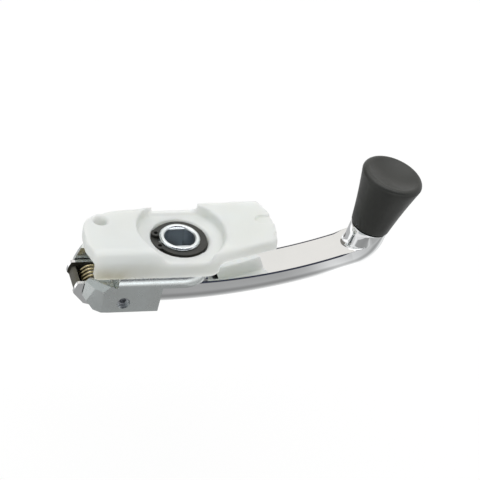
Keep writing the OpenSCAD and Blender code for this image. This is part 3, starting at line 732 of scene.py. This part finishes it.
tree.links.new(mix.outputs[0], tree.nodes["Material Output"].inputs["Surface"])
floor_mesh.materials.append(floor_paint)

world = bpy.data.worlds.new("studio")
scene.world = world
world.use_nodes = True
tree = world.node_tree
back = tree.nodes["Background"]
back.inputs["Color"].default_value = (1, 1, 1, 1)
level = tree.nodes.new("ShaderNodeMapRange")
level.inputs["To Min"].default_value = 0.42
level.inputs["To Max"].default_value = 1.0
tree.links.new(light_rays(tree), level.inputs["Value"])
tree.links.new(level.outputs["Result"], back.inputs["Strength"])


def softbox(name, place, target, size, watts, colour=(1, 1, 1)):
    """A square lamp that looks at a point."""
    lamp = bpy.data.lights.new(name, "AREA")
    lamp.shape = "RECTANGLE"
    lamp.size, lamp.size_y = size
    lamp.energy = watts
    lamp.color = colour
    obj = bpy.data.objects.new(name, lamp)
    obj.location = place
    aim = Vector(target) - Vector(place)
    obj.rotation_euler = aim.to_track_quat("-Z", "Y").to_euler()
    scene.collection.objects.link(obj)
    return obj


def levels(tree, value, stops):
    """A number that goes from level to level as a value passes the stops."""
    first, last = stops[0][0], stops[-1][0]
    ramp = tree.nodes.new("ShaderNodeValToRGB")
    points = ramp.color_ramp.elements
    while len(points) < len(stops):
        points.new(0.5)
    for point, (at, level) in zip(points, stops):
        point.position = (at - first) / (last - first)
        point.color = (level, level, level, 1)
    along = maths(tree, "DIVIDE", maths(tree, "SUBTRACT", value, first), last - first)
    tree.links.new(along, ramp.inputs[0])
    return ramp.outputs["Color"]


def card(name, corners, tone, along_x=None, along_y=None):
    """A studio card that only mirrors see, in one tone or with levels along X and Y."""
    bm = bmesh.new()
    bmesh.ops.contextual_create(bm, geom=[bm.verts.new(c) for c in corners])
    mesh = bpy.data.meshes.new(name)
    bm.to_mesh(mesh)
    bm.free()
    paint = bpy.data.materials.new(name)
    paint.use_nodes = True
    tree = paint.node_tree
    tree.nodes.remove(tree.nodes["Principled BSDF"])
    glow = tree.nodes.new("ShaderNodeEmission")
    glow.inputs["Color"].default_value = (*tone, 1)
    if along_x:
        place, x, y, z = place_parts(tree)
        tree.links.new(maths(tree, "MULTIPLY", levels(tree, x, along_x), levels(tree, y, along_y)),
                       glow.inputs["Strength"])
    tree.links.new(glow.outputs[0], tree.nodes["Material Output"].inputs["Surface"])
    mesh.materials.append(paint)
    obj = bpy.data.objects.new(name, mesh)
    obj.visible_camera = obj.visible_diffuse = obj.visible_shadow = False
    obj.visible_transmission = obj.visible_volume_scatter = False
    scene.collection.objects.link(obj)


card("floor_card", [(-0.25, -0.42, -0.08), (0.35, -0.42, -0.08), (0.35, 0.25, -0.08),
                    (-0.25, 0.25, -0.08)], (0.99, 1.0, 1.0),
     [(-0.25, 2.7), (-0.12, 2.7), (-0.104, 1.15), (0.0, 1.03), (0.027, 1.1), (0.065, 1.2),
      (0.074, 1.45), (0.084, 2.4), (0.096, 1.8), (0.12, 1.5), (0.35, 1.5)],
     [(-0.42, 0.3), (-0.1, 0.34), (-0.075, 0.4), (-0.05, 0.29), (-0.03, 0.27), (-0.005, 0.43),
      (0.015, 0.62), (0.035, 0.66), (0.06, 0.44), (0.25, 0.6)])
card("ceiling_card", [(-1.3, -0.95, 0.5), (1.3, -0.95, 0.5), (1.3, -0.5, 1.2), (-1.3, -0.5, 1.2)],
     (0.055, 0.06, 0.085))
card("back_card", [(-0.8, 1.1, 0.25), (1.8, 1.1, 0.25), (1.8, 0.8, 1.6), (-0.8, 0.8, 1.6)],
     (0.99, 0.975, 0.935))
card("left_card", [(-0.55, 0.2, -0.08), (-0.35, 0.85, -0.08), (-0.35, 0.85, 0.4), (-0.55, 0.2, 0.4)],
     (0.25, 0.24, 0.22))
card("side_card", [(-1.3, -0.5, -0.08), (-0.5, -1.3, -0.08), (-0.5, -1.3, 0.6), (-1.3, -0.5, 0.6)],
     (0.55, 0.58, 0.58))
softbox("top_softbox", (0.05, 0.15, 0.9), (0.02, 0, 0), (1.3, 1.0), 6.65)
fill = softbox("left_softbox", (-0.75, -0.55, 0.5), (0, 0, -0.01), (0.6, 0.6), 0.9, (0.95, 0.98, 1.0))
fill.visible_glossy = False
strip = softbox("strip_softbox", (0.26, -1.0, 0.15), (0, 0, -0.01), (1.1, 0.12), 0.48, (0.86, 0.95, 1.0))
strip.visible_diffuse = False
rear = softbox("rear_softbox", (0.2, 0.9, 0.35), (0.02, 0, 0), (0.9, 0.5), 0.5)
rear.visible_glossy = False
bounce = softbox("floor_bounce", (0.03, 0.03, -0.075), (0.03, 0.03, 0), (0.2, 0.09), 0.085)
bounce.visible_camera = bounce.visible_glossy = False

# Camera: the photograph's axes in the frame of the solids, measured on the housing and the arm
SHOT_RIGHT = Vector((0.961, -0.229, 0.150)).normalized()
SHOT_UP = Vector((0.030, 0.6325, 0.774))
SHOT_UP = (SHOT_UP - SHOT_UP.dot(SHOT_RIGHT) * SHOT_RIGHT).normalized()
SHOT_BACK = SHOT_RIGHT.cross(SHOT_UP)
SHOT_WIDTH = 0.1488
SHOT_DISTANCE = 1.1
centre = 0.0186 * SHOT_RIGHT - 0.00124 * SHOT_UP
lens = bpy.data.cameras.new("camera")
lens.sensor_fit = "HORIZONTAL"
lens.sensor_width = 36.0
lens.lens = lens.sensor_width * SHOT_DISTANCE / SHOT_WIDTH
lens.clip_start, lens.clip_end = 0.05, 30.0
camera = bpy.data.objects.new("camera", lens)
turn = Matrix((SHOT_RIGHT, SHOT_UP, SHOT_BACK)).transposed().to_4x4()
camera.matrix_world = Matrix.Translation(centre + SHOT_DISTANCE * SHOT_BACK) @ turn
scene.collection.objects.link(camera)
scene.camera = camera
scene.view_settings.view_transform = "Standard"
